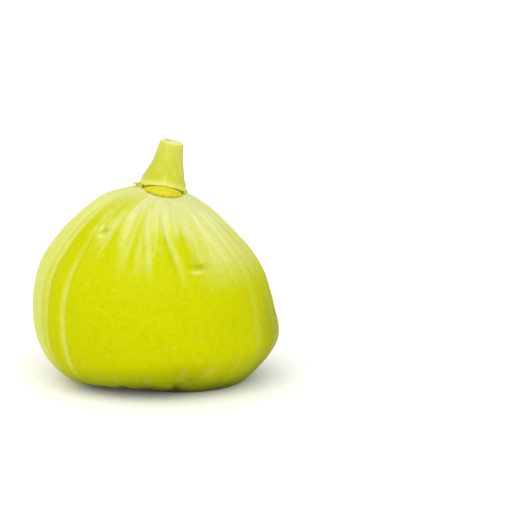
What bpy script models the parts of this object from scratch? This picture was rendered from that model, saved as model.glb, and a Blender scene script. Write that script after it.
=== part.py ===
"""Fresh green fig: one whole, unpeeled fruit, picked with a short cut stalk and standing on its broad end.

The fruit is one solid with raised ribs, a flat where its base has settled and a small eye underneath.
The stalk stands on its neck, with three basal bracts tucked under the stalk's foot, and five small
scales close the eye. The origin is on the surface that the fig stands on, under the middle of its
box, with +Z up, +X to the fig's right and -Y to its front.
"""

import math
import random

import bmesh
import bpy
from mathutils import Vector
from mathutils.geometry import interpolate_bezier

# Lengths are in millimetres, and each object's mesh is turned to metres as it is finished.
MM = 0.001
TOUCH_GAP = 0.3

# The fruit has sagged to its right. Each half-outline runs from the edge of the flat it rests on to
# the rim of its neck, as (distance from the fruit's own axis, height).
LEFT_OUTLINE = ((6.5, 0), (19.8, 1.5), (26.6, 10.0), (26.6, 25.9), (15.1, 40.1), (5.4, 43.7))
RIGHT_OUTLINE = ((19.4, 0), (26.8, 9.5), (25.3, 16.2), (22.0, 25.9), (11.1, 38.0), (5.4, 41.7))
BODY_ROWS = 20
DEPTH_RATIO = 0.95
BASE_NARROWING = 0.08
AXIS_X = -0.22
AXIS_Y = 0.0

# The neck's rim lies in one plane, which leans to the right and a little to the front.
NECK_RADIUS = RIGHT_OUTLINE[-1][0]
NECK_HEIGHT = (LEFT_OUTLINE[-1][1] + RIGHT_OUTLINE[-1][1]) / 2
NECK_SHIFT = 1.75
NECK_LEAN = math.atan2(LEFT_OUTLINE[-1][1] - RIGHT_OUTLINE[-1][1], 2 * NECK_RADIUS)
NECK_NOD = math.radians(3.6)

# Ribs, by the azimuth of each crest: 0 at the front, growing towards the right. The back's are spaced
# by rule, with a seeded unevenness.
FRONT_RIBS = (-82, -73, -64, -49, -34, -23, -10.5, 2, 15.5, 37, 56, 66, 77)
BACK_RIBS = 11
BACK_RIB_JITTER = 2.5
RIB_HEIGHT = 0.65
RIB_SHARE_SUNK = 0.75
RIB_COLUMNS = 6

# The eye under the base: the radius of its rim, and its well as (radius, height above the flat).
EYE_RADIUS = 3.3
EYE_WELL = ((3.05, 0.3), (2.95, 1.7), (2.3, 2.4))
EYE_SIDES = 24
EYE_SCALES = 5
SCALE_MIDDLE = 1.5
SCALE_HALF_LENGTH = 1.15
SCALE_HALF_WIDTH = 0.82
SCALE_LOWEST = 0.45
SCALE_SLOPE = 0.22
SCALE_THICKNESS = 0.7

# The stalk above its lip, as (radius, height above the neck's rim). The lip rolls out over the
# bracts, and rises in a scallop over each of them.
STALK_PROFILE = (
    (4.6, 3.8), (4.15, 4.5), (3.8, 5.2), (3.45, 6.3), (3.1, 7.6), (2.75, 9.2), (2.5, 10.7), (2.3, 11.15)
)
STALK_SIDES = 48
CORE_RADIUS = 4.4
LIP_RADIUS = 5.15
LIP_THICKNESS = 0.9
LIP_HEIGHT = 1.1
SCALLOP_RISE = 1.1

# Bracts by name: azimuth of the middle, half of the span, azimuth of the dried tip, length of the tip.
BRACTS = {
    "basal_bract_front": (2, 64, 58, 0.4),
    "basal_bract_left": (-122, 54, -86, 2.2),
    "basal_bract_right": (124, 50, 114, 0.7),
}
BRACT_INNER_RADIUS = 4.7
BRACT_THICKNESS = 0.4
BRACT_END_HEIGHT = 0.3
BRACT_FLARE = 0.45
BRACT_STEPS = 24
TIP_SPREAD = 9
TIP_LIFT = 0.3

SKIN = ("fig_skin", (0.62, 0.64, 0.03), 0.42)
STALK_SKIN = ("fig_stalk", (0.60, 0.62, 0.06), 0.5)
BRACT_SKIN = ("dry_bract", (0.55, 0.50, 0.03), 0.6)
SCALE_SKIN = ("eye_scale", (0.42, 0.30, 0.10), 0.65)


def clear_scene():
    for obj in list(bpy.data.objects):
        bpy.data.objects.remove(obj, do_unlink=True)


def matte_material(name, colour, roughness):
    material = bpy.data.materials.get(name) or bpy.data.materials.new(name)
    material.use_nodes = True
    shader = material.node_tree.nodes["Principled BSDF"]
    shader.inputs["Base Color"].default_value = (*colour, 1)
    shader.inputs["Roughness"].default_value = roughness
    shader.inputs["Metallic"].default_value = 0
    return material


def finished_mesh(name, mesh, finish):
    """Turns a bmesh in millimetres into smooth-shaded mesh data in metres."""
    bmesh.ops.scale(mesh, vec=(MM, MM, MM), verts=mesh.verts)
    bmesh.ops.recalc_face_normals(mesh, faces=mesh.faces)
    data = bpy.data.meshes.new(name)
    mesh.to_mesh(data)
    mesh.free()
    data.materials.append(matte_material(*finish))
    data.shade_smooth()
    data.set_sharp_from_angle(angle=math.radians(40))
    return data


def placed(name, data, parent=None):
    obj = bpy.data.objects.new(name, data)
    bpy.context.collection.objects.link(obj)
    obj.parent = parent
    return obj


def direction(azimuth):
    """The level unit vector at an azimuth in radians, which is 0 at the front and grows to the right."""
    return Vector((math.sin(azimuth), -math.cos(azimuth), 0))


def shaped_tube(columns, rows, place, lift=None):
    """A capped tube of quads: place(column, row) gives its points, which lift moves along their normals."""
    mesh = bmesh.new()
    bmesh.ops.create_cone(mesh, cap_ends=True, segments=columns, radius1=1, radius2=1, depth=rows)
    uprights = [edge for edge in mesh.edges if abs(edge.verts[0].co.z - edge.verts[1].co.z) > 0.5]
    bmesh.ops.subdivide_edges(mesh, edges=uprights, cuts=rows - 1)
    steps = {}
    for vertex in mesh.verts:
        turn = math.atan2(vertex.co.y, vertex.co.x) / math.tau
        steps[vertex] = (round(turn * columns) % columns, round(vertex.co.z + rows / 2))
    for vertex, (column, row) in steps.items():
        vertex.co = place(column, row)
    if lift:
        mesh.normal_update()
        for vertex, (column, row) in steps.items():
            vertex.co += vertex.normal * lift(column, row)
    return mesh


# Fruit


def smooth_outline(knots):
    """Closely spaced points on a curve through the knots, which leaves the first one level."""
    points = [Vector((radius, 0, height)) for radius, height in knots]
    points.insert(0, points[0] - Vector((3, 0, 0)))
    points.append(2 * points[-1] - points[-2])
    curve = []
    for before, start, end, after in zip(points, points[1:], points[2:], points[3:]):
        arriving = math.sqrt((start - before).length)
        crossing = math.sqrt((end - start).length)
        leaving = math.sqrt((after - end).length)
        into = (start - before) / arriving - (end - before) / (arriving + crossing)
        out = (after - end) / leaving - (after - start) / (crossing + leaving)
        start_handle = start + (end - start + crossing * into) / 3
        end_handle = end - (end - start + crossing * out) / 3
        curve += interpolate_bezier(start, start_handle, end_handle, end, 24)[:-1]
    return curve + [points[-2]]


def evenly_spaced(curve, steps):
    """Points along the curve at steps + 1 equal distances."""
    reached = [0.0]
    for start, end in zip(curve, curve[1:]):
        reached.append(reached[-1] + (end - start).length)
    chosen = []
    index = 0
    for step in range(steps + 1):
        target = reached[-1] * step / steps
        while index < len(curve) - 2 and reached[index + 1] < target:
            index += 1
        part = (target - reached[index]) / (reached[index + 1] - reached[index])
        chosen.append(curve[index].lerp(curve[index + 1], part))
    return chosen


def rib_crests():
    """Azimuths of all the crests in radians, once round."""
    crests = list(FRONT_RIBS)
    gap = (360 + FRONT_RIBS[0] - FRONT_RIBS[-1]) / (BACK_RIBS + 1)
    unevenness = random.Random(4)
    for index in range(1, BACK_RIBS + 1):
        jitter = unevenness.uniform(-BACK_RIB_JITTER, BACK_RIB_JITTER)
        crests.append(FRONT_RIBS[-1] + gap * index + jitter)
    return [math.radians(crest) for crest in crests]


def body_columns():
    """(azimuth, closeness to a crest) of each column, so that columns run along crests and valleys."""
    crests = rib_crests()
    columns = []
    for crest, following in zip(crests, crests[1:] + [crests[0] + math.tau]):
        for step in range(RIB_COLUMNS):
            part = step / RIB_COLUMNS
            closeness = (0.5 + 0.5 * math.cos(math.tau * part)) ** 2
            columns.append((crest + (following - crest) * part, closeness))
    return columns


def sink_eye(mesh, rest_face):
    """Opens the flat under the fruit into the round well of the eye."""
    rim = bmesh.ops.create_circle(mesh, segments=EYE_SIDES, radius=EYE_RADIUS)["verts"]
    ring = list({edge for vertex in rim for edge in vertex.link_edges})
    flat_edges = list(rest_face.edges)
    bmesh.ops.delete(mesh, geom=[rest_face], context="FACES_ONLY")
    bmesh.ops.triangle_fill(mesh, edges=flat_edges + ring, use_beauty=True)
    for radius, height in EYE_WELL:
        grown = bmesh.ops.extrude_edge_only(mesh, edges=ring)["geom"]
        ring = [part for part in grown if isinstance(part, bmesh.types.BMEdge)]
        for vertex in [part for part in grown if isinstance(part, bmesh.types.BMVert)]:
            outward = Vector((vertex.co.x, vertex.co.y, 0)).normalized()
            vertex.co = outward * radius + Vector((0, 0, height))
    bmesh.ops.contextual_create(mesh, geom=ring)


def make_fruit():
    left = evenly_spaced(smooth_outline(LEFT_OUTLINE), BODY_ROWS)
    right = evenly_spaced(smooth_outline(RIGHT_OUTLINE), BODY_ROWS)
    columns = body_columns()

    def place(column, row):
        azimuth = columns[column][0]
        outline = left[row].lerp(right[row], (1 + math.sin(azimuth)) / 2)
        point = direction(azimuth) * outline.x
        point.x += NECK_SHIFT * outline.z / NECK_HEIGHT
        point.y *= DEPTH_RATIO - BASE_NARROWING * (1 - row / BODY_ROWS) ** 4
        point.z = outline.z + point.y * math.tan(NECK_NOD) * (row / BODY_ROWS) ** 4
        return point

    def lift(column, row):
        strength = math.sin(math.pi * (row / BODY_ROWS) ** 1.3) ** 0.8 if row < BODY_ROWS else 0
        return RIB_HEIGHT * strength * (columns[column][1] - RIB_SHARE_SUNK)

    mesh = shaped_tube(len(columns), BODY_ROWS, place, lift)
    caps = [face for face in mesh.faces if len(face.verts) > 4]
    rest_face, neck_face = sorted(caps, key=lambda face: face.calc_center_median().z)
    sink_eye(mesh, rest_face)
    bmesh.ops.poke(mesh, faces=[neck_face])
    fruit = placed("fruit", finished_mesh("fruit", mesh, SKIN))
    fruit.location = Vector((AXIS_X, AXIS_Y, 0)) * MM


def make_eye_scales():
    """Five pointed scales, which lean in over the eye's well and share one mesh."""

    def place(column, row):
        turn = math.tau * column / 16
        size = (0.8, 1, 0.7)[row]
        distance = SCALE_MIDDLE + SCALE_HALF_LENGTH * size * math.cos(turn)
        width = SCALE_HALF_WIDTH * size * math.sin(turn) * (0.75 + 0.25 * math.cos(turn))
        height = SCALE_LOWEST + SCALE_SLOPE * distance + SCALE_THICKNESS * row / 2
        return Vector((distance, width, height))

    data = finished_mesh("eye_scale", shaped_tube(16, 2, place), SCALE_SKIN)
    for index in range(EYE_SCALES):
        scale = placed(f"eye_scale_{index + 1}", data)
        scale.location = Vector((AXIS_X, AXIS_Y, 0)) * MM
        scale.rotation_euler.z = math.tau * index / EYE_SCALES


# Neck: the stalk and the bracts stand on the neck's rim, and are made in its own frame.


def bract_swell(azimuth):
    """How much the bract at an azimuth swells, from 1 at its middle to 0 at its ends and between bracts."""
    swell = 0
    for middle, half_span, _, _ in BRACTS.values():
        away = (math.degrees(azimuth) - middle + 180) % 360 - 180
        swell = max(swell, 1 - (away / half_span) ** 2)
    return swell


def make_stalk(neck):
    rows = 5 + len(STALK_PROFILE)

    def place(column, row):
        azimuth = math.tau * column / STALK_SIDES
        lip = LIP_HEIGHT + SCALLOP_RISE * bract_swell(azimuth)
        sections = (
            (CORE_RADIUS, TOUCH_GAP),
            (CORE_RADIUS + 0.05, lip - 0.3),
            (LIP_RADIUS - 0.15, lip),
            (LIP_RADIUS, lip + 0.4 * LIP_THICKNESS),
            (LIP_RADIUS - 0.35, lip + LIP_THICKNESS),
            *STALK_PROFILE,
        )
        radius, height = sections[row]
        return direction(azimuth) * radius + Vector((0, 0, height))

    mesh = shaped_tube(STALK_SIDES, rows - 1, place)
    return placed("stalk", finished_mesh("stalk", mesh, STALK_SKIN), neck)


def make_bract(name, neck):
    """A scale pressed against the stalk's foot, lens-shaped, with a flared lower margin and a dried tip."""
    middle, half_span, tip_azimuth, tip_length = BRACTS[name]

    def place(column, row):
        azimuth = middle + half_span * 0.98 * (2 * row / BRACT_STEPS - 1)
        swell = 1 - ((azimuth - middle) / half_span) ** 2
        tip = tip_length * math.exp(-(((azimuth - tip_azimuth) / TIP_SPREAD) ** 2))
        top = BRACT_END_HEIGHT + SCALLOP_RISE * swell
        outer = BRACT_INNER_RADIUS + BRACT_THICKNESS
        flare = outer + BRACT_FLARE * swell + tip
        section = (
            (BRACT_INNER_RADIUS, 0),
            (BRACT_INNER_RADIUS, top / 2),
            (BRACT_INNER_RADIUS, top),
            (outer - 0.15, top),
            (outer, 0.7 * top),
            (outer + 0.15 * swell, 0.35 * top + 0.1),
            (flare, 0.25 + TIP_LIFT * tip),
            (flare, TIP_LIFT * tip),
        )
        radius, height = section[column]
        return direction(math.radians(azimuth)) * radius + Vector((0, 0, TOUCH_GAP + height))

    mesh = shaped_tube(8, BRACT_STEPS, place)
    return placed(name, finished_mesh(name, mesh, BRACT_SKIN), neck)


def make_neck():
    neck = placed("neck_rim", None)
    neck.location = Vector((AXIS_X + NECK_SHIFT, AXIS_Y, NECK_HEIGHT)) * MM
    neck.rotation_euler = (NECK_NOD, NECK_LEAN, 0)
    make_stalk(neck)
    for name in BRACTS:
        make_bract(name, neck)


clear_scene()
make_fruit()
make_eye_scales()
make_neck()
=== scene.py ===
import math
import random

import bmesh
import bpy
from mathutils import Euler, Matrix, Vector, noise
from mathutils.geometry import interpolate_bezier


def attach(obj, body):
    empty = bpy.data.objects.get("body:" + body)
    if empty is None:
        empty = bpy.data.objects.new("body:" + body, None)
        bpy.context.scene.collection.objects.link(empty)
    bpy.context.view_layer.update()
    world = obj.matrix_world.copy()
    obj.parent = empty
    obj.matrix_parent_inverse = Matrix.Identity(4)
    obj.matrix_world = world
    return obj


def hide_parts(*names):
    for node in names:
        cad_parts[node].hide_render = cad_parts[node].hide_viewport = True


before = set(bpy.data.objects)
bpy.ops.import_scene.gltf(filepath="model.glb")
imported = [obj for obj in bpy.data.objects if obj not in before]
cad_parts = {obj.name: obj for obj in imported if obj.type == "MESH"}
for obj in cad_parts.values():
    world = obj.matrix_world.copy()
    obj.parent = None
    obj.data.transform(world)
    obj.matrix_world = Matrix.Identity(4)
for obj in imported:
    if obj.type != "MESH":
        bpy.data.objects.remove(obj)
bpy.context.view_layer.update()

# ---------------------------------------------------------------------------------------------
# Fruit. The fleshy body with its thin waxy skin, grown in one piece: a squat, broad-based bulb
# that has sagged to its right, with ribs from the neck to the base. It stands on a settled flat.
# ---------------------------------------------------------------------------------------------

MM = 0.001

# Half-outlines from the edge of the flat underneath to the neck's rim, as (radius, height) in mm.
LEFT_OUTLINE = ((6.5, 0), (19.8, 1.5), (26.6, 10.0), (26.6, 25.9), (15.1, 40.1), (5.4, 43.7))
RIGHT_OUTLINE = ((19.4, 0), (26.75, 9.5), (25.7, 16.2), (22.1, 25.9), (11.1, 38.0), (5.4, 41.7))
DEPTH_RATIO = 0.95
BASE_NARROWING = 0.08
AXIS_X = -0.22
NECK_RADIUS = RIGHT_OUTLINE[-1][0]
NECK_HEIGHT = (LEFT_OUTLINE[-1][1] + RIGHT_OUTLINE[-1][1]) / 2
NECK_SHIFT = 1.75
NECK_LEAN = math.atan2(LEFT_OUTLINE[-1][1] - RIGHT_OUTLINE[-1][1], 2 * NECK_RADIUS)
NECK_NOD = math.radians(3.6)

COLUMNS = 432
FLANK_ROWS = 184
MERGE_DISTANCE = 1e-4
# Points on each stretch of an outline, and the level run in mm that leads up to its first knot.
CURVE_STEPS = 40
LEVEL_RUN = 3
# A point's level is its share of the way up the flank, whose length is in mm.
FLANK_LENGTH = 66
EYE_LEVEL = -0.05
# Rows inside the flat: the eye's floor, wall and rim, as (radius, height) in mm, then the flat.
EYE_ROWS = (
    (0, 2.35), (0.8, 2.35), (1.6, 2.3), (2.25, 2.05), (2.7, 1.5), (2.92, 0.9), (3.08, 0.4), (3.4, 0.1),
    (3.9, 0),
)
FLAT_ROWS = 3
# Rows on top of the neck, as (share of the neck's radius, height above its rim in mm).
NECK_ROWS = ((0.97, 0.1), (0.9, 0.16), (0.6, 0.18), (0, 0.18))

# Ribs: azimuth at the neck and at the base, half-width in degrees, then height in mm on the
# shoulder, the belly and the base. Azimuth 0 is the front, and grows to the right.
FRONT_RIBS = (
    (-84, -84, 1.8, 0.25, 0.35, 0.30),
    (-76, -75.5, 1.5, 0.25, 0.40, 0.30),
    (-69, -68, 1.4, 0.30, 0.45, 0.25),
    (-62, -61.5, 1.8, 0.35, 0.60, 0.40),
    (-49, -47, 2.0, 0.18, 0.55, 0.30),
    (-40, -35, 4.0, 0.10, 0.05, 0.45),
    (-25, -20, 3.0, 0.28, 0.04, 0.55),
    (-15, -7, 1.7, -0.22, -0.03, 0.10),
    (-11, -3, 2.7, 0.38, 0.05, 0.40),
    (-1.5, 9, 2.3, -0.32, -0.03, -0.10),
    (2, 15, 3.0, 0.55, 0.05, 0.60),
    (24, 30, 4.0, 0.12, 0.06, 0.55),
    (36, 45, 2.3, 0.25, 0.06, 0.45),
    (52, 58, 3.6, 0.18, 0.20, 0.22),
    (64, 66, 3.2, 0.12, 0.12, 0.18),
    (76, 78, 3.4, 0.15, 0.15, 0.20),
)
# The back's ribs are spaced by rule with this unevenness, and lean to the left at the neck, both in
# degrees. Their half-widths and heights are drawn from these spans.
BACK_RIBS = 13
BACK_SEED = 4
BACK_UNEVENNESS = 2.5
BACK_LEAN = 5
BACK_WIDTHS = (2.4, 3.6)
BACK_HEIGHTS = ((0.35, 0.6), (0.15, 0.5), (0.25, 0.45))
RIB_WANDER = 0.9
RIB_WIDENING = 0.35
# Levels over which ribs swing from base to neck azimuth, widen, and lumps come in and go out.
RIB_SWING = (0.55, 0.95)
RIB_WIDER = (0.75, 1)
LUMPS_IN = (0.02, 0.14)
LUMPS_OUT = (0.93, 1)
# Levels over which a rib rises off the flat, takes on its belly and its shoulder height, and ends.
RIB_START = (0.015, 0.12)
RIB_BELLY = (0.12, 0.3)
RIB_SHOULDER = (0.5, 0.78)
RIB_END = (0.8, 0.97)
# The skin between the ribs is sunk this far at mid-height, so that the whole keeps its outline.
RIB_SINK = 0.1875
# Heights in mm at which a rib's crest takes on its full paleness, partly painted highlight, or a hollow
# its full painted shade.
FULL_CREST = 0.5
FULL_HOLLOW = 0.3
# Lumps as (height, size) in mm, and the fine streaks that stand a little proud of the skin.
LUMPS = ((0.14, 9), (0.07, 3.5))
STREAK_HEIGHT = 0.02
STREAKS_ROUND = 34
STREAKS_ALONG = 4

# Spots of two small healed marks: azimuth, level, half-width, half-height and height in mm, tint
# (-1 is dark, 1 is pale). The right mark is a wide dent over a lip, the left one a dented ring.
MARK_SPOTS = (
    (24.0, 0.643, 1.9, 0.60, -0.50, -1.0),
    (23.2, 0.620, 1.3, 0.35, 0.25, 1.0),
    (-39.3, 0.779, 0.80, 0.75, -0.35, -1.0),
    (-43.6, 0.786, 0.55, 0.95, 0.22, 0.8),
    (-41.2, 0.757, 0.85, 0.50, 0.25, 0.9),
)
# A mark curves up towards its ends.
MARK_BOW = 0.1


def direction(azimuth):
    return Vector((math.sin(azimuth), -math.cos(azimuth), 0))


def smoothstep(low, high, value):
    part = min(max((value - low) / (high - low), 0), 1)
    return part * part * (3 - 2 * part)


def smooth_outline(knots):
    """Closely spaced points on a curve through the knots, which leaves the first one level."""
    points = [Vector((radius, 0, height)) for radius, height in knots]
    points.insert(0, points[0] - Vector((LEVEL_RUN, 0, 0)))
    points.append(2 * points[-1] - points[-2])
    curve = []
    for before, start, end, after in zip(points, points[1:], points[2:], points[3:]):
        arriving = math.sqrt((start - before).length)
        crossing = math.sqrt((end - start).length)
        leaving = math.sqrt((after - end).length)
        into = (start - before) / arriving - (end - before) / (arriving + crossing)
        out = (after - end) / leaving - (after - start) / (crossing + leaving)
        start_handle = start + (end - start + crossing * into) / 3
        end_handle = end - (end - start + crossing * out) / 3
        curve += interpolate_bezier(start, start_handle, end_handle, end, CURVE_STEPS)[:-1]
    return curve + [points[-2]]


def evenly_spaced(curve, steps):
    """Points along the curve at steps + 1 equal distances."""
    reached = [0.0]
    for start, end in zip(curve, curve[1:]):
        reached.append(reached[-1] + (end - start).length)
    chosen = []
    index = 0
    for step in range(steps + 1):
        target = reached[-1] * step / steps
        while index < len(curve) - 2 and reached[index + 1] < target:
            index += 1
        part = (target - reached[index]) / (reached[index + 1] - reached[index])
        chosen.append(curve[index].lerp(curve[index + 1], part))
    return chosen


def spun_wall(rows, columns):
    """A tube made by turning an upright line: its points stand at radius 1 and at height = row."""
    mesh = bmesh.new()
    line = [mesh.verts.new((1, 0, row)) for row in range(rows)]
    edges = [mesh.edges.new(pair) for pair in zip(line, line[1:])]
    bmesh.ops.spin(
        mesh, geom=line + edges, cent=(0, 0, 0), axis=(0, 0, 1), angle=math.tau, steps=columns,
        use_merge=True,
    )
    return mesh


def finished_piece(name, mesh, body="root"):
    """Turns a bmesh in mm into a smooth, closed object in metres that rides on the body."""
    bmesh.ops.remove_doubles(mesh, verts=mesh.verts, dist=MERGE_DISTANCE)
    bmesh.ops.recalc_face_normals(mesh, faces=mesh.faces)
    bmesh.ops.scale(mesh, vec=(MM, MM, MM), verts=mesh.verts)
    data = bpy.data.meshes.new(name)
    mesh.to_mesh(data)
    mesh.free()
    data.shade_smooth()
    piece = bpy.data.objects.new(name, data)
    bpy.context.scene.collection.objects.link(piece)
    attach(piece, body)
    return piece


def all_ribs():
    """The front's ribs, then the back's, spaced by rule with a seeded unevenness."""
    uneven = random.Random(BACK_SEED)
    ribs = list(FRONT_RIBS)
    first = FRONT_RIBS[-1][1]
    gap = (360 + FRONT_RIBS[0][1] - first) / (BACK_RIBS + 1)
    for index in range(1, BACK_RIBS + 1):
        base = first + gap * index + uneven.uniform(-BACK_UNEVENNESS, BACK_UNEVENNESS)
        neck = base - BACK_LEAN * math.cos(math.radians(base))
        heights = [uneven.uniform(*span) for span in BACK_HEIGHTS]
        ribs.append((neck, base, uneven.uniform(*BACK_WIDTHS), *heights))
    return ribs


def rib_strength(level, shoulder, belly, base):
    """A rib's height at a level: it fades out on the flat underneath and at the neck."""
    if level < RIB_START[1]:
        return base * smoothstep(*RIB_START, level)
    if level < RIB_SHOULDER[0]:
        return base + (belly - base) * smoothstep(*RIB_BELLY, level)
    if level < RIB_SHOULDER[1]:
        return belly + (shoulder - belly) * smoothstep(*RIB_SHOULDER, level)
    return shoulder * (1 - smoothstep(*RIB_END, level))


def ribs_on_row(ribs, level):
    """(azimuth, half-width, height) of each rib at a level. Ribs wander a little on their way down."""
    row = []
    for index, (neck, base, width, *heights) in enumerate(ribs):
        wander = RIB_WANDER * noise.noise(Vector((index * 3.7, level * 5, 0)))
        azimuth = base + (neck - base) * smoothstep(*RIB_SWING, level) + wander
        spread = width * (1 + RIB_WIDENING * smoothstep(*RIB_WIDER, level))
        row.append((azimuth, spread, rib_strength(level, *heights)))
    return row


def mark_relief(azimuth, level, radius):
    """(height in mm, darkness, paleness) that the healed marks give the skin."""
    height = dark = pale = 0
    for spot_azimuth, spot_level, half_width, half_height, spot_height, tint in MARK_SPOTS:
        across = math.radians(azimuth - spot_azimuth) * radius
        up = (level - spot_level) * FLANK_LENGTH
        if abs(across) > 4 * half_width or abs(up) > 5 * half_height:
            continue
        bow = MARK_BOW * across**2 / half_width
        closeness = math.exp(-((across / half_width) ** 2) - ((up - bow) / half_height) ** 2)
        height += spot_height * closeness
        dark = max(dark, -tint * closeness)
        pale = max(pale, tint * closeness)
    return height, dark, pale


def make_fruit():
    left = evenly_spaced(smooth_outline(LEFT_OUTLINE), FLANK_ROWS)
    right = evenly_spaced(smooth_outline(RIGHT_OUTLINE), FLANK_ROWS)
    flank_start = len(EYE_ROWS) + FLAT_ROWS
    neck_start = flank_start + FLANK_ROWS + 1
    mesh = spun_wall(neck_start + len(NECK_ROWS), COLUMNS)
    layer = {name: mesh.verts.layers.float.new(name) for name in ("level", "crest", "dark", "pale")}
    grain = mesh.verts.layers.float_vector.new("grain")

    def flank_point(azimuth, row):
        outline = left[row].lerp(right[row], (1 + math.sin(azimuth)) / 2)
        point = direction(azimuth) * outline.x
        point.x += NECK_SHIFT * outline.z / NECK_HEIGHT
        point.y *= DEPTH_RATIO - BASE_NARROWING * (1 - row / FLANK_ROWS) ** 4
        point.z = outline.z + point.y * math.tan(NECK_NOD) * (row / FLANK_ROWS) ** 4
        return point

    neck_centre = Vector((NECK_SHIFT, 0, NECK_HEIGHT))
    flank = []
    for vertex in mesh.verts:
        row = round(vertex.co.z)
        azimuth = math.atan2(vertex.co.y, vertex.co.x) + math.pi / 2
        if row < len(EYE_ROWS):
            radius, height = EYE_ROWS[row]
            vertex.co = direction(azimuth) * radius + Vector((0, 0, height))
            vertex[layer["level"]] = EYE_LEVEL
        elif row < flank_start:
            rim = direction(azimuth) * EYE_ROWS[-1][0]
            part = (row - len(EYE_ROWS) + 1) / (FLAT_ROWS + 1)
            vertex.co = rim.lerp(flank_point(azimuth, 0), part)
            vertex[layer["level"]] = 0
        elif row < neck_start:
            vertex.co = flank_point(azimuth, row - flank_start)
            vertex[layer["level"]] = (row - flank_start) / FLANK_ROWS
            flank.append((vertex, azimuth, row - flank_start))
        else:
            share, height = NECK_ROWS[row - neck_start]
            rim = flank_point(azimuth, FLANK_ROWS)
            vertex.co = neck_centre.lerp(rim, share) + Vector((0, 0, height))
            vertex[layer["level"]] = 1
        vertex[grain] = direction(azimuth) + Vector((0, 0, vertex[layer["level"]]))

    bmesh.ops.recalc_face_normals(mesh, faces=mesh.faces)
    mesh.normal_update()
    ribs = all_ribs()
    rows = [ribs_on_row(ribs, row / FLANK_ROWS) for row in range(FLANK_ROWS + 1)]
    for vertex, turn, row in flank:
        level = row / FLANK_ROWS
        azimuth = math.degrees(turn)
        height = 0
        crest = 0
        hollow = 0
        for rib_azimuth, width, strength in rows[row]:
            away = (azimuth - rib_azimuth + 180) % 360 - 180
            if abs(away) < 3 * width:
                closeness = math.exp(-((away / width) ** 2))
                height += strength * closeness
                crest = max(crest, closeness * min(strength / FULL_CREST, 1))
                hollow = max(hollow, closeness * min(-strength / FULL_HOLLOW, 1))
        sunk = RIB_SINK * math.sin(math.pi * level) ** 0.7 if row < FLANK_ROWS else 0
        settled = smoothstep(*LUMPS_IN, level) * (1 - smoothstep(*LUMPS_OUT, level))
        lumps = sum(rise * noise.noise(vertex.co / size) for rise, size in LUMPS)
        around = direction(turn) * STREAKS_ROUND + Vector((0, 0, level * STREAKS_ALONG))
        streaks = STREAK_HEIGHT * noise.noise(around)
        radius = Vector((vertex.co.x, vertex.co.y)).length
        mark, dark, pale = mark_relief(azimuth, level, radius)
        relief = height - sunk + (lumps + streaks) * settled + mark
        # The crest attribute carries a crest's paleness, partly painted highlight, and, as a negative, a
        # hollow's painted shade.
        vertex[layer["crest"]] = crest - hollow
        vertex[layer["dark"]] = dark
        vertex[layer["pale"]] = pale
        vertex.co += vertex.normal * relief
        vertex.co.z = max(vertex.co.z, 0)
    bmesh.ops.translate(mesh, vec=(AXIS_X, 0, 0), verts=mesh.verts)
    return finished_piece("fig_body", mesh)


def linear(hex_colour):
    """An sRGB hex colour as the linear RGBA that a shader socket holds."""
    channels = [int(hex_colour[index : index + 2], 16) / 255 for index in (1, 3, 5)]
    return (*[c / 12.92 if c <= 0.04045 else ((c + 0.055) / 1.055) ** 2.4 for c in channels], 1)


def set_inputs(node, inputs):
    """Gives a node's inputs, in order or by name, their values, hex colours or sockets to link from."""
    for socket, value in inputs.items() if isinstance(inputs, dict) else enumerate(inputs):
        if isinstance(value, bpy.types.NodeSocket):
            node.id_data.links.new(value, node.inputs[socket])
        else:
            node.inputs[socket].default_value = linear(value) if isinstance(value, str) else value


def add_node(tree, kind, inputs=(), output=0, **settings):
    """Adds a node with its settings and its inputs, and returns one of its outputs."""
    made = tree.nodes.new(kind)
    for name, value in settings.items():
        setattr(made, name, value)
    set_inputs(made, inputs)
    return made.outputs[output]


def set_stops(ramp, stops):
    """Gives a colour ramp, known by its output, these stops of (position, hex colour)."""
    elements = ramp.node.color_ramp.elements
    for position, _ in stops[1:-1]:
        elements.new(position)
    for element, (position, colour) in zip(elements, stops):
        element.position = position
        element.color = linear(colour)


def tinted(tree, colour, tints):
    """The colour with tints laid over it in turn, each as (share, share of that share, hex colour)."""
    for first, second, tint in tints:
        share = add_node(tree, "ShaderNodeMath", (first, second), operation="MULTIPLY")
        colour = add_node(tree, "ShaderNodeMix", {0: share, 6: colour, 7: tint}, 2, data_type="RGBA")
    return colour


def new_material(name):
    """A node material that holds its output and a Principled shader, with its tree and the shader."""
    material = bpy.data.materials.new(name)
    material.use_nodes = True
    return material, material.node_tree, material.node_tree.nodes["Principled BSDF"]


# The inputs of a Map Range run: value, from low, from high, to low, to high. On skin, stalk and
# bracts each is eased at its ends.
EASED = {"interpolation_type": "SMOOTHSTEP"}
# Pattern sizes in mm. The pores are drawn a little coarse, so that they show.
PATCH_SIZE = 7
GRAIN_SIZE = 1.1
PORE_SIZE = 0.6
LENTICEL_SPACING = 1.6
# Streaks are about 3 mm wide and 16 mm long: how many fit in a radius, and in the flank's length.
STREAKS_ACROSS = 9
STREAKS_UP = 4
# Skin colour by level, from the flat underneath to the neck. The darkest stops low down are painted
# shade where the fruit meets the floor; the cream near the neck is partly the skin's bloom, partly painted
# highlight.
SKIN_SHADE_AND_HIGHLIGHT_STOPS = (
    (0.0, "#2A3003"), (0.08, "#484E02"), (0.17, "#7A8000"), (0.29, "#B2B500"), (0.5, "#B4B800"),
    (0.66, "#B5B90C"), (0.78, "#BFC350"), (0.9, "#C8CA7E"), (1.0, "#CBCD8C"),
)


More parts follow.
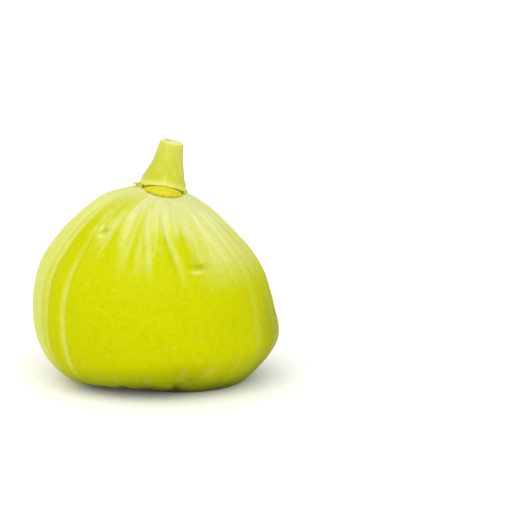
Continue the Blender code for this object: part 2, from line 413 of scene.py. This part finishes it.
def fig_skin_material():
    """Fig skin: thin, waxy and satin. Yellow-green on the belly, cream near the neck and on the ribs,
    partly as painted highlight, with painted shade low down at the base.
    """
    material, tree, shader = new_material("waxy_green_fig_skin")
    place = add_node(tree, "ShaderNodeTexCoord", (), "Object")
    grain = add_node(tree, "ShaderNodeAttribute", (), "Vector", attribute_name="grain")
    sideways = add_node(tree, "ShaderNodeSeparateXYZ", (grain,), "X")
    level, crest, dark, pale = [
        add_node(tree, "ShaderNodeAttribute", (), "Fac", attribute_name=name)
        for name in ("level", "crest", "dark", "pale")
    ]
    stretch = (STREAKS_ACROSS, STREAKS_ACROSS, STREAKS_UP)
    along = add_node(tree, "ShaderNodeMapping", {"Vector": grain, "Scale": stretch})
    streaks = add_node(tree, "ShaderNodeTexNoise", {"Vector": along, "Scale": 1, "Detail": 3})
    patches, grains, pores = [
        add_node(tree, "ShaderNodeTexNoise", {"Vector": place, "Scale": 1 / (size * MM), "Detail": detail})
        for size, detail in ((PATCH_SIZE, 3), (GRAIN_SIZE, 2), (PORE_SIZE, 2))
    ]

    # The place on the ramp is the level, moved by pairs of factors. On the upper half streaks,
    # patches and crests carry the pale neck down the fruit, and the left shoulder is greener; the crests'
    # paleness is partly painted highlight, and the hollows take painted shade. Low down the base's painted
    # shade is lightened on the right and on the crests, as painted light on the lobes.
    upper = add_node(tree, "ShaderNodeMapRange", (level, 0.4, 0.8, 0, 1), **EASED)
    streak_shift = add_node(tree, "ShaderNodeMapRange", (streaks, 0.3, 0.7, -0.1, 0.1), **EASED)
    patch_shift = add_node(tree, "ShaderNodeMapRange", (patches, 0.3, 0.7, -0.06, 0.06), **EASED)
    left_shift = add_node(tree, "ShaderNodeMapRange", (sideways, -0.6, 0, -0.08, 0), **EASED)
    crest_shift = add_node(tree, "ShaderNodeMapRange", (level, 0.4, 0.8, 0, 0.1), **EASED)
    # Painted light and shade low down: the base is lightened on the right and on the lobes' crests, with
    # painted shade in their hollows.
    right_base_painted_light = add_node(tree, "ShaderNodeMapRange", (sideways, 0.2, 0.55, 0, 0.09), **EASED)
    lower = add_node(tree, "ShaderNodeMapRange", (level, 0.1, 0.35, 1, 0), **EASED)
    lobe_light_and_shade = add_node(tree, "ShaderNodeMapRange", (level, 0.1, 0.3, 0.04, 0), **EASED)
    moved = level
    for pair in (
        (streak_shift, upper), (patch_shift, upper), (left_shift, upper), (crest, crest_shift),
        (right_base_painted_light, lower), (crest, lobe_light_and_shade),
    ):
        moved = add_node(tree, "ShaderNodeMath", (*pair, moved), operation="MULTIPLY_ADD")
    colour = add_node(tree, "ShaderNodeValToRGB", (moved,))
    set_stops(colour, SKIN_SHADE_AND_HIGHLIGHT_STOPS)

    # Lenticels: pale specks under half a millimetre across, on about half of the cells.
    spacing = {"Vector": place, "Scale": 1 / (LENTICEL_SPACING * MM)}
    cells = add_node(tree, "ShaderNodeTexVoronoi", spacing, "Distance")
    speck = add_node(tree, "ShaderNodeMapRange", (cells, 0.06, 0.2, 1, 0), **EASED)
    draw = cells.node.outputs["Color"]
    chosen = add_node(tree, "ShaderNodeMapRange", (draw, 0.3, 0.7, 0, 1), **EASED)
    specks = add_node(tree, "ShaderNodeMath", (speck, chosen), operation="MULTIPLY")

    # Shares of the tints: green patches, painted shade on the right flank low down, a painted sheen on the
    # left flank, a painted highlight on the right shoulder, pale crests that are partly painted highlight,
    # fine mottling, lenticels and the healed marks.
    patchy = add_node(tree, "ShaderNodeMapRange", (patches, 0.5, 0.75, 0, 0.3), **EASED)
    right_flank_shade = add_node(tree, "ShaderNodeMapRange", (sideways, 0.78, 0.98, 0, 1), **EASED)
    low = add_node(tree, "ShaderNodeMapRange", (level, 0.3, 0.6, 0.6, 0), **EASED)
    left_flank_sheen = add_node(tree, "ShaderNodeMapRange", (sideways, -0.96, -0.85, 0.7, 0), **EASED)
    right = add_node(tree, "ShaderNodeMapRange", (sideways, 0.3, 0.7, 0, 1), **EASED)
    shoulder = add_node(tree, "ShaderNodeMapRange", (level, 0.5, 0.7, 0, 0.4), **EASED)
    crest_paleness_and_highlight = add_node(tree, "ShaderNodeMapRange", (crest, 0.1, 1, 0, 0.5), **EASED)
    off_base = add_node(tree, "ShaderNodeMapRange", (level, 0.1, 0.35, 0, 1), **EASED)
    mottles = add_node(tree, "ShaderNodeMapRange", (grains, 0.4, 0.75, 0, 1), **EASED)
    mottling = add_node(tree, "ShaderNodeMapRange", (level, 0.5, 0.85, 0.22, 0.05), **EASED)
    colour = tinted(tree, colour, (
        (patchy, 1, "#A9B500"),
        # Painted shade: the right flank is darkened low down as if something beside the fig shaded it.
        (right_flank_shade, low, "#7E8600"),
        # Painted sheen: the left flank is paler where it would reflect the bright left of the room.
        (left_flank_sheen, 1, "#CDD07C"),
        # Painted highlight on the right shoulder, where the light from above and to the right falls.
        (right, shoulder, "#D6D998"),
        # Pale crests: partly the skin's paler streaks, partly painted highlight.
        (crest_paleness_and_highlight, off_base, "#CDD16C"),
        (mottles, mottling, "#969E00"),
        (specks, 0.14, "#E6E890"),
        (dark, 0.85, "#969C00"),
        (pale, 0.7, "#D9DB8C"),
    ))

    relief = streaks
    for pattern, share in ((pores, 0.5), (specks, 0.6)):
        relief = add_node(tree, "ShaderNodeMath", (pattern, share, relief), operation="MULTIPLY_ADD")
    bumps = {"Strength": 0.5, "Distance": 0.06 * MM, "Height": relief}
    set_inputs(shader, {
        "Base Color": colour,
        "Roughness": add_node(tree, "ShaderNodeMapRange", (patches, 0.3, 0.7, 0.36, 0.48), **EASED),
        "Normal": add_node(tree, "ShaderNodeBump", bumps),
        "IOR": 1.45,
        "Specular IOR Level": 0.02,
        "Subsurface Weight": 0.12,
        "Subsurface Radius": (2.5 * MM, 2 * MM, 0.4 * MM),
        "Subsurface Scale": 1,
    })
    return material


body = make_fruit()
body.data.materials.append(fig_skin_material())
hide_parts("fruit")

# ---------------------------------------------------------------------------------------------
# Eye scales. Five small dry bracts, papery and tan, that grow from the rim of the eye at the broad
# end and lean in over its well.
# ---------------------------------------------------------------------------------------------

EYE_SCALES = 5
SCALE_MIDDLE = 1.5
SCALE_HALF_LENGTH = 1.25
SCALE_HALF_WIDTH = 0.95
SCALE_LOWEST = 0.5
SCALE_SLOPE = 0.22
SCALE_THICKNESS = 0.55
SCALE_TAPER = 0.22
SCALE_KEEL = 0.25
BLOTCH_SIZE = 0.9


def make_eye_scale(name, turn):
    """A pointed, keeled scale: a ball flattened and drawn out along the radius."""
    mesh = bmesh.new()
    bmesh.ops.create_uvsphere(mesh, u_segments=32, v_segments=16, radius=1)
    for vertex in mesh.verts:
        along, across, up = vertex.co
        distance = SCALE_MIDDLE + SCALE_HALF_LENGTH * along
        width = SCALE_HALF_WIDTH * across * (1 - SCALE_TAPER + SCALE_TAPER * along)
        keel = SCALE_KEEL * (1 - abs(across)) * (1 - along * along) * max(-up, 0)
        height = SCALE_LOWEST + SCALE_SLOPE * distance + SCALE_THICKNESS * (up + 1) / 2
        vertex.co = Vector((distance, width, height - keel))
    bmesh.ops.rotate(mesh, cent=(0, 0, 0), matrix=Matrix.Rotation(turn, 3, "Z"), verts=mesh.verts)
    bmesh.ops.translate(mesh, vec=(AXIS_X, 0, 0), verts=mesh.verts)
    return finished_piece(name, mesh)


def eye_scale_material():
    """Dry fig eye scale: papery and dull, in blotches from tan to brown."""
    material, tree, shader = new_material("dry_eye_scale")
    place = add_node(tree, "ShaderNodeTexCoord", (), "Object")
    size = {"Vector": place, "Scale": 1 / (BLOTCH_SIZE * MM), "Detail": 4}
    blotches = add_node(tree, "ShaderNodeTexNoise", size)
    colour = add_node(tree, "ShaderNodeValToRGB", (blotches,))
    set_stops(colour, ((0.3, "#8A6A2C"), (0.5, "#B08F3E"), (0.7, "#C9B45C")))
    grit = {"Strength": 0.6, "Distance": 0.05 * MM, "Height": blotches}
    set_inputs(shader, {
        "Base Color": colour,
        "Normal": add_node(tree, "ShaderNodeBump", grit),
        "Roughness": 0.7,
    })
    return material


scale_finish = eye_scale_material()
for index in range(EYE_SCALES):
    scale = make_eye_scale(f"eye_bract_{index + 1}", math.tau * index / EYE_SCALES)
    scale.data.materials.append(scale_finish)
    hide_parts(f"eye_scale_{index + 1}")

# ---------------------------------------------------------------------------------------------
# Stalk. The fleshy stub left by the cut, thick and tapered, grown on the neck's rim. A rolled lip
# at its foot rises in a scallop over each of the three bracts. It is built in the neck's own frame.
# ---------------------------------------------------------------------------------------------

NECK_FRAME = Matrix.Translation((AXIS_X + NECK_SHIFT, 0, NECK_HEIGHT)) @ Euler(
    (NECK_NOD, NECK_LEAN, 0)
).to_matrix().to_4x4()
STALK_COLUMNS = 144
STALK_ROWS = 90
# The side from below the lip to the cut end, as (radius, height above the neck's rim) in mm.
STALK_SIDE = (
    (5.25, 0.3), (5.08, 1.3), (4.8, 2.3), (4.42, 3.3), (4.1, 4.3), (3.76, 5.3), (3.46, 6.3), (3.16, 7.6),
    (2.88, 9.2), (2.66, 10.6), (2.52, 11.1),
)
# The cut face from its middle to its edge, as (radius, height) in mm.
CUT_ROWS = ((0, 11.12), (0.8, 11.12), (1.5, 11.1), (2.0, 11.12), (2.3, 11.18), (2.48, 11.16))
CUT_SPAN = (10.6, 11.1)
LIP_THICKNESS = 0.9
LIP_BULGE = 0.12
LIP_HEIGHT = 1.0
SCALLOP_RISE = 1.1
CORE_RADIUS = 4.5
# The foot from the lip inwards, as (radius, height above the lip) in mm. None is sunk in the neck.
FOOT_ROWS = ((CORE_RADIUS + 0.25, -0.05), (CORE_RADIUS, -0.2), (CORE_RADIUS, None), (0, None))
SUNK_HEIGHT = 0.05
LIP_SHARPNESS = 1.6
STALK_BEND = 0.17
BEND_SPAN = (2.5, 6.5)
FLUTE_SHARE = 0.05
GROOVE_SHARE = 0.012
CUT_ROUGHNESS = 0.3
CUT_TILT = 0.04
BRUISE_AT = Vector((-0.9, -0.8))
BRUISE_RADIUS = 0.85
BRUISE_HEIGHT = 0.4
FIBRES_PER_METRE = (1100, 1100, 160)
# Bracts by CAD node: azimuth of the middle, half of the span, azimuth and length of the dried tip.
BRACTS = {
    "basal_bract_front": (5, 64, 58, 0.4),
    "basal_bract_left": (-122, 54, -86, 2.9),
    "basal_bract_right": (124, 50, 114, 0.7),
}


def bract_swell(azimuth):
    """How much the bract at an azimuth in degrees swells: 1 at its middle, 0 at its ends."""
    swell = 0
    for middle, half_span, _, _ in BRACTS.values():
        away = (azimuth - middle + 180) % 360 - 180
        swell = max(swell, 1 - (away / half_span) ** 2)
    return swell


def make_stalk():
    side = smooth_outline(STALK_SIDE)
    foot_start = len(CUT_ROWS) + STALK_ROWS
    mesh = spun_wall(foot_start + len(FOOT_ROWS), STALK_COLUMNS)
    layer = {name: mesh.verts.layers.float.new(name) for name in ("level", "lip", "cut", "bruise")}
    top = side[-1].z

    def side_radius(height):
        for low, high in zip(side, side[1:]):
            if high.z >= height:
                return low.lerp(high, (height - low.z) / (high.z - low.z)).x
        return side[-1].x

    for vertex in mesh.verts:
        row = round(vertex.co.z)
        turn = math.atan2(vertex.co.y, vertex.co.x) + math.pi / 2
        lip = LIP_HEIGHT + SCALLOP_RISE * bract_swell(math.degrees(turn))
        if row < len(CUT_ROWS):
            radius, height = CUT_ROWS[row]
            vertex[layer["cut"]] = 1
        elif row < foot_start:
            part = (row - len(CUT_ROWS)) / (STALK_ROWS - 1)
            height = top + (lip - top) * part
            above = (height - lip - LIP_THICKNESS / 2) / LIP_THICKNESS
            roll = math.exp(-((LIP_SHARPNESS * above) ** 2))
            radius = side_radius(height) + LIP_BULGE * roll
            vertex[layer["lip"]] = roll
        else:
            radius, height = FOOT_ROWS[row - foot_start]
            height = SUNK_HEIGHT if height is None else lip + height
        outward = direction(turn)
        flutes = FLUTE_SHARE * noise.noise(outward * 1.4 + Vector((0, 0, height * 0.12)))
        grooves = GROOVE_SHARE * noise.noise(outward * 5 + Vector((0, 0, height * 0.2)))
        ragged = CUT_ROUGHNESS * noise.noise(outward * radius * 0.6 + Vector((3, 0, 0)))
        vertex.co = outward * radius * (1 + (flutes + grooves) * smoothstep(0, 3, height))
        vertex.co.x += STALK_BEND * smoothstep(*BEND_SPAN, height)
        away = (Vector((vertex.co.x, vertex.co.y)) - BRUISE_AT).length / BRUISE_RADIUS
        at_cut = smoothstep(*CUT_SPAN, height)
        vertex[layer["bruise"]] = math.exp(-(away**2)) * at_cut
        vertex.co.z = height + (ragged - CUT_TILT * vertex.co.x) * at_cut
        vertex.co.z += BRUISE_HEIGHT * vertex[layer["bruise"]]
        vertex[layer["level"]] = height / top
    bmesh.ops.transform(mesh, matrix=NECK_FRAME, verts=mesh.verts)
    return finished_piece("fig_stalk", mesh)


def stalk_material():
    """Fig stalk: fleshy and green under a smooth skin with fine fibres, cut across to show pale pith, with
    a painted highlight along the lip.
    """
    material, tree, shader = new_material("fleshy_green_fig_stalk")
    place = add_node(tree, "ShaderNodeTexCoord", (), "Object")
    level, lip, cut, bruise = [
        add_node(tree, "ShaderNodeAttribute", (), "Fac", attribute_name=name)
        for name in ("level", "lip", "cut", "bruise")
    ]
    # Fibres are about 0.9 mm wide and 6 mm long.
    along = add_node(tree, "ShaderNodeMapping", {"Vector": place, "Scale": FIBRES_PER_METRE})
    fibres = add_node(tree, "ShaderNodeTexNoise", {"Vector": along, "Scale": 1, "Detail": 3})
    fibrous = add_node(tree, "ShaderNodeMapRange", (fibres, 0.4, 0.75, 0, 0.4), **EASED)
    bruised = add_node(tree, "ShaderNodeMapRange", (bruise, 0.2, 0.9, 0, 0.75), **EASED)
    colour = add_node(tree, "ShaderNodeValToRGB", (level,))
    set_stops(colour, ((0.0, "#BABA28"), (0.4, "#AEB10A"), (1.0, "#B8B93C")))
    colour = tinted(tree, colour, (
        (fibrous, 1, "#CCCD60"),
        # Painted highlight along the rolled lip.
        (lip, 0.45, "#D8D478"),
        (cut, 1, "#D6D48A"),
        (bruised, 1, "#7A6420"),
    ))
    bumps = {"Strength": 0.5, "Distance": 0.08 * MM, "Height": fibres}
    set_inputs(shader, {
        "Base Color": colour,
        "Normal": add_node(tree, "ShaderNodeBump", bumps),
        "Roughness": 0.5,
        "Specular IOR Level": 0.35,
        "Subsurface Weight": 0.12,
        "Subsurface Radius": (2 * MM, 1.8 * MM, 0.4 * MM),
        "Subsurface Scale": 1,
    })
    return material


stalk = make_stalk()
stalk.data.materials.append(stalk_material())
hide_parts("stalk")

# ---------------------------------------------------------------------------------------------
# Basal bracts. Three lens-shaped fleshy scales, grown under the stalk's lip and pressed to its foot.
# Their lower margins are dried brown, and the left one ends in a thin dried tip that stands off.
# ---------------------------------------------------------------------------------------------

BRACT_INNER_RADIUS = 4.55
BRACT_THICKNESS = 0.6
BRACT_END_HEIGHT = 0.9
BRACT_FLARE = 1.1
BRACT_DROP = 0.6
BRACT_FOOT = 0.04
BRACT_CRINKLE = 0.06
BRACT_BLOTCH_SIZE = 0.8
BRACT_STEPS = 120
SECTION_SIDES = 32
SPIN_RADIUS = 3
# The dried tips: how far each spreads round the neck in degrees, and its lift per mm of length.
TIP_SPREAD = 3.6
TIP_LIFT = 0.3
# A dried crease across the face of the front bract: azimuth, share of its height, half-sizes.
CREASE = (-1, 0.6, 12, 0.06)
CREASE_DEPTH = 0.08
CREASE_DRYNESS = 0.75


def make_bract(name, node):
    """A ring section swept round the foot, closed at its two ends."""
    middle, half_span, tip_azimuth, tip_length = BRACTS[node]
    mesh = bmesh.new()
    ring = bmesh.ops.create_circle(mesh, segments=SECTION_SIDES, radius=1)["verts"]
    for vertex in ring:
        vertex.co = Vector((SPIN_RADIUS + vertex.co.x, 0, vertex.co.y))
    edges = mesh.edges[:]
    bmesh.ops.spin(
        mesh, geom=ring + edges, cent=(0, 0, 0), axis=(0, 0, 1), angle=math.pi, steps=BRACT_STEPS
    )
    ends = [edge for edge in mesh.edges if edge.is_boundary]
    bmesh.ops.holes_fill(mesh, edges=ends, sides=0)
    margin = mesh.verts.layers.float.new("margin")
    crease_azimuth, crease_share, crease_width, crease_height = CREASE
    for vertex in mesh.verts:
        # Shares: part runs from one end of the bract to the other, outer from its inside to its
        # face, and upper from its lower margin to its top.
        part = math.atan2(vertex.co.y, vertex.co.x) / math.pi
        part = part + 2 if part < -0.5 else part
        from_centre = Vector((vertex.co.x, vertex.co.y)).length - SPIN_RADIUS
        outer = (1 + from_centre) / 2
        upper = (1 + vertex.co.z) / 2
        azimuth = middle + half_span * (2 * part - 1)
        swell = 1 - (2 * part - 1) ** 2
        tip_share = math.exp(-(((azimuth - tip_azimuth) / TIP_SPREAD) ** 2))
        tip = tip_length * tip_share
        along = (azimuth - crease_azimuth) / crease_width
        crease = math.exp(-(along**2) - ((upper - crease_share) / crease_height) ** 2) * outer
        top = BRACT_END_HEIGHT * (0.3 + 0.7 * swell) + SCALLOP_RISE * swell
        flare = (BRACT_FLARE * swell + tip) * (1 - upper) ** 3 * outer
        crinkle = BRACT_CRINKLE * noise.noise(Vector((azimuth / 6, upper * 2, 0)))
        radius = BRACT_INNER_RADIUS + BRACT_THICKNESS * outer * (0.6 + 0.4 * swell) + flare + crinkle
        radius -= CREASE_DEPTH * crease
        drop = BRACT_DROP * swell * (1 - upper) ** 2 * outer
        height = BRACT_FOOT + top * upper + TIP_LIFT * tip * (1 - upper) ** 2 - drop
        dry_tip = tip_share * outer * min(tip_length, 1)
        vertex[margin] = max((1 - upper) * outer, CREASE_DRYNESS * crease, dry_tip)
        vertex.co = direction(math.radians(azimuth)) * radius + Vector((0, 0, height))
    bmesh.ops.transform(mesh, matrix=NECK_FRAME, verts=mesh.verts)
    return finished_piece(name, mesh)


def bract_material():
    """Fig bract: a fleshy yellow scale whose free margin has dried to a thin brown line."""
    material, tree, shader = new_material("fig_bract_with_dry_margin")
    place = add_node(tree, "ShaderNodeTexCoord", (), "Object")
    margin = add_node(tree, "ShaderNodeAttribute", (), "Fac", attribute_name="margin")
    size = {"Vector": place, "Scale": 1 / (BRACT_BLOTCH_SIZE * MM), "Detail": 3}
    blotches = add_node(tree, "ShaderNodeTexNoise", size)
    ripe = add_node(tree, "ShaderNodeMapRange", (blotches, 0.45, 0.7, 0, 0.6), **EASED)
    edge = add_node(tree, "ShaderNodeMath", (blotches, 0.25, margin), operation="MULTIPLY_ADD")
    dried = add_node(tree, "ShaderNodeMapRange", (edge, 0.72, 0.96, 0, 1), **EASED)
    colour = tinted(tree, linear("#BDB900"), ((ripe, 1, "#CDC420"), (dried, 1, "#7E6D16")))
    set_inputs(shader, {"Base Color": colour, "Roughness": 0.55, "Specular IOR Level": 0.3})
    return material


bract_finish = bract_material()
for node in BRACTS:
    bract = make_bract(node.replace("basal_", "neck_"), node)
    bract.data.materials.append(bract_finish)
    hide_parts(node)

# ---------------------------------------------------------------------------------------------
# Stage. A flat white floor in a bright white room that is brighter on the left, with a broad soft
# light from the front, and a camera a little above the fig.
# ---------------------------------------------------------------------------------------------

FLOOR_HALF = 4
CAMERA_ELEVATION = math.radians(12)
CAMERA_DISTANCE = 0.52
CAMERA_LENS = 166.2
CAMERA_AIM = Vector((0.0219, -0.0015, 0.0284))
ROOM_LEFT = 1.2
ROOM_RIGHT = 0.65
SUN_STRENGTH = 2.0
SUN_SPREAD = math.radians(90)
SUN_FROM = Vector((0.15, -1, 0.62))


def make_stage():
    mesh = bmesh.new()
    bmesh.ops.create_grid(mesh, x_segments=1, y_segments=1, size=FLOOR_HALF)
    data = bpy.data.meshes.new("floor")
    mesh.to_mesh(data)
    mesh.free()
    floor = bpy.data.objects.new("floor", data)
    bpy.context.scene.collection.objects.link(floor)
    material, _, shader = new_material("matt_white_floor")
    set_inputs(shader, {"Base Color": "#FAFAFA", "Roughness": 0.9, "Specular IOR Level": 0})
    data.materials.append(material)

    world = bpy.data.worlds.new("white_room")
    world.use_nodes = True
    tree = world.node_tree
    towards = add_node(tree, "ShaderNodeTexCoord", (), "Generated")
    side = add_node(tree, "ShaderNodeSeparateXYZ", (towards,), "X")
    glow = add_node(tree, "ShaderNodeMapRange", (side, -1, 1, ROOM_LEFT, ROOM_RIGHT))
    set_inputs(tree.nodes["Background"], {"Color": "#FFFFFF", "Strength": glow})
    bpy.context.scene.world = world

    lamp = bpy.data.lights.new("soft_key", "SUN")
    lamp.energy = SUN_STRENGTH
    lamp.angle = SUN_SPREAD
    key = bpy.data.objects.new("soft_key", lamp)
    key.rotation_euler = SUN_FROM.to_track_quat("Z", "Y").to_euler()
    bpy.context.scene.collection.objects.link(key)


def make_camera():
    lens = bpy.data.cameras.new("camera")
    lens.lens = CAMERA_LENS
    lens.clip_start = 0.01
    camera = bpy.data.objects.new("camera", lens)
    back = Vector((0, -math.cos(CAMERA_ELEVATION), math.sin(CAMERA_ELEVATION)))
    camera.location = CAMERA_AIM + back * CAMERA_DISTANCE
    camera.rotation_euler = back.to_track_quat("Z", "Y").to_euler()
    bpy.context.scene.collection.objects.link(camera)
    bpy.context.scene.camera = camera


make_stage()
make_camera()
bpy.context.scene.view_settings.view_transform = "Standard"
